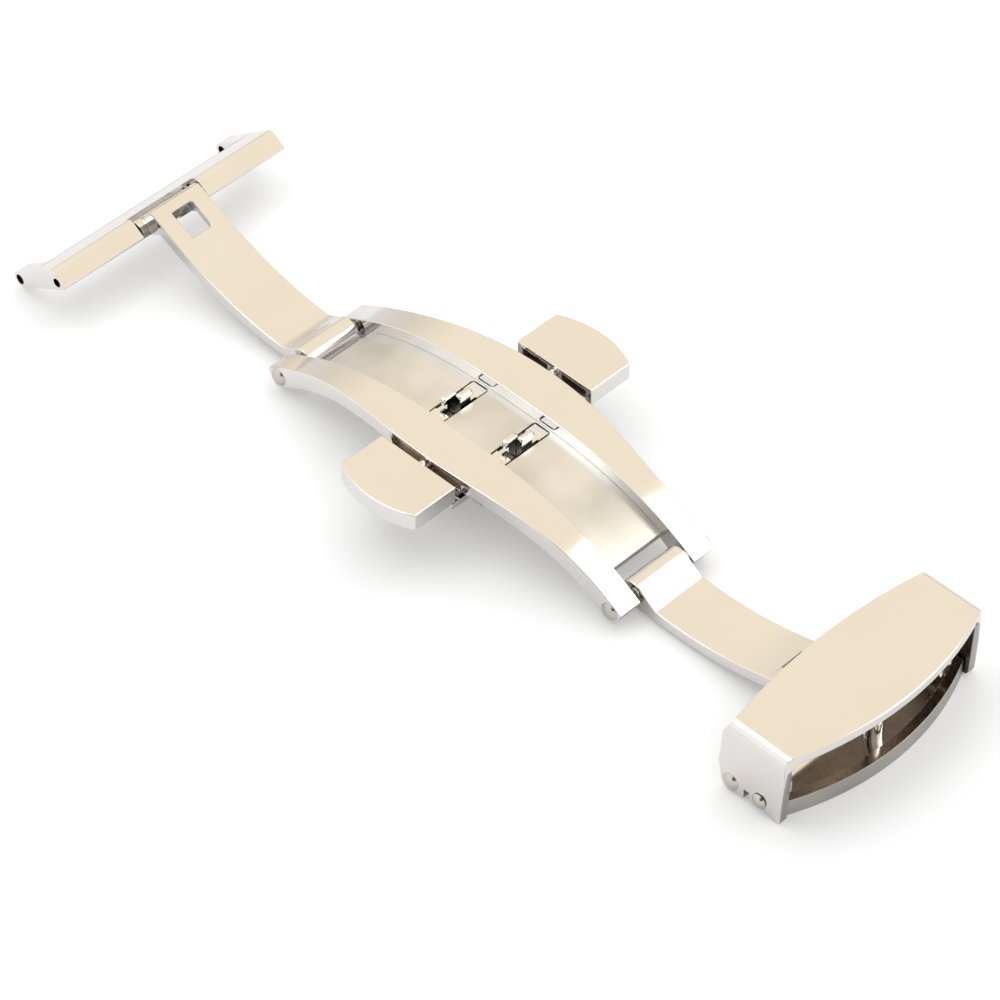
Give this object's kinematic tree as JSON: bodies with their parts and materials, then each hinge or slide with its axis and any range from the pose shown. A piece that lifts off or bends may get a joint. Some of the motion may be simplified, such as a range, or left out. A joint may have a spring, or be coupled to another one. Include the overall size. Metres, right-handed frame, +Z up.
{
  "type": "watch buckle",
  "caption": "Double-folding watch clasp with an arched bridge, push buttons, a lug bar for a strap end and a box with a post for the other strap end.",
  "frame": {"origin": "under the middle of the bridge, on the surface that the open clasp lies on", "axes": "+X from the lug bar towards the buckle box, +Y across the clasp, +Z up"},
  "size_m": [0.0838, 0.0252, 0.0073],
  "materials": {
    "polished_steel": "polished stainless steel",
    "satin_steel": "satin stainless steel",
    "lip_steel": "polished stainless steel with a satin lip",
    "pin_steel": "turned stainless steel",
    "spring_steel": "spring wire"
  },
  "bodies": {
    "bridge": {"near_rail": "polished_steel", "far_rail": "polished_steel", "web_plate": "satin_steel", "mechanism_pan": "satin_steel", "pan_screws": "pin_steel", "left_hinge_pin": "polished_steel", "right_hinge_pin": "polished_steel", "pusher_springs": "spring_steel"},
    "left_leaf": {"left_arm": "polished_steel"},
    "right_leaf": {"right_arm": "polished_steel"},
    "lug": {"lug_bar": "polished_steel", "lug_bar_pin": "pin_steel"},
    "box": {"buckle_cover": "polished_steel", "box_hinge_pin": "polished_steel", "box_spacers": "satin_steel"},
    "flap": {"strap_flap": "lip_steel", "strap_post": "polished_steel", "post_rivet": "pin_steel", "snap_pins": "polished_steel"},
    "near_pusher": {"near_button": "polished_steel", "near_slider": "satin_steel", "near_guide_rod": "polished_steel", "near_rivets": "pin_steel"},
    "far_pusher": {"far_button": "polished_steel", "far_slider": "satin_steel", "far_guide_rod": "polished_steel", "far_rivets": "pin_steel"}
  },
  "joints": [
    {"name": "left_arm_hinge", "type": "hinge", "parent": "bridge", "child": "left_leaf", "pos_m": [-0.01785, 0, 0.00155], "axis": [0, 1, 0], "range_deg": [0, 152.46]},
    {"name": "right_arm_hinge", "type": "hinge", "parent": "bridge", "child": "right_leaf", "pos_m": [0.01785, 0, 0.00155], "axis": [0, -1, 0], "range_deg": [0, 159.15]},
    {"name": "lug_bar_hinge", "type": "hinge", "parent": "left_leaf", "child": "lug", "pos_m": [-0.0359, 0, 0.00425], "axis": [0, -1, 0], "range_deg": [-30, 115]},
    {"name": "box_hinge", "type": "hinge", "parent": "right_leaf", "child": "box", "pos_m": [0.03523, 0, 0.001], "axis": [0, 1, 0], "range_deg": [0, 159.15]},
    {"name": "flap_hinge", "type": "hinge", "parent": "box", "child": "flap", "pos_m": [0.03523, 0, 0.001], "axis": [0, -1, 0], "range_deg": [-95, 0]},
    {"name": "near_button_slide", "type": "slide", "parent": "bridge", "child": "near_pusher", "axis": [0, 1, 0], "range_m": [0, 0.00042], "stiffness_N_per_m": 400, "springref_m": -0.0005, "deforming": ["pusher_springs"]},
    {"name": "far_button_slide", "type": "slide", "parent": "bridge", "child": "far_pusher", "axis": [0, -1, 0], "range_m": [0, 0.00042], "stiffness_N_per_m": 400, "springref_m": -0.0005, "deforming": ["pusher_springs"]}
  ],
  "couplings": [
    {"joint": "box_hinge", "follows": "right_arm_hinge", "ratio": 1}
  ]
}
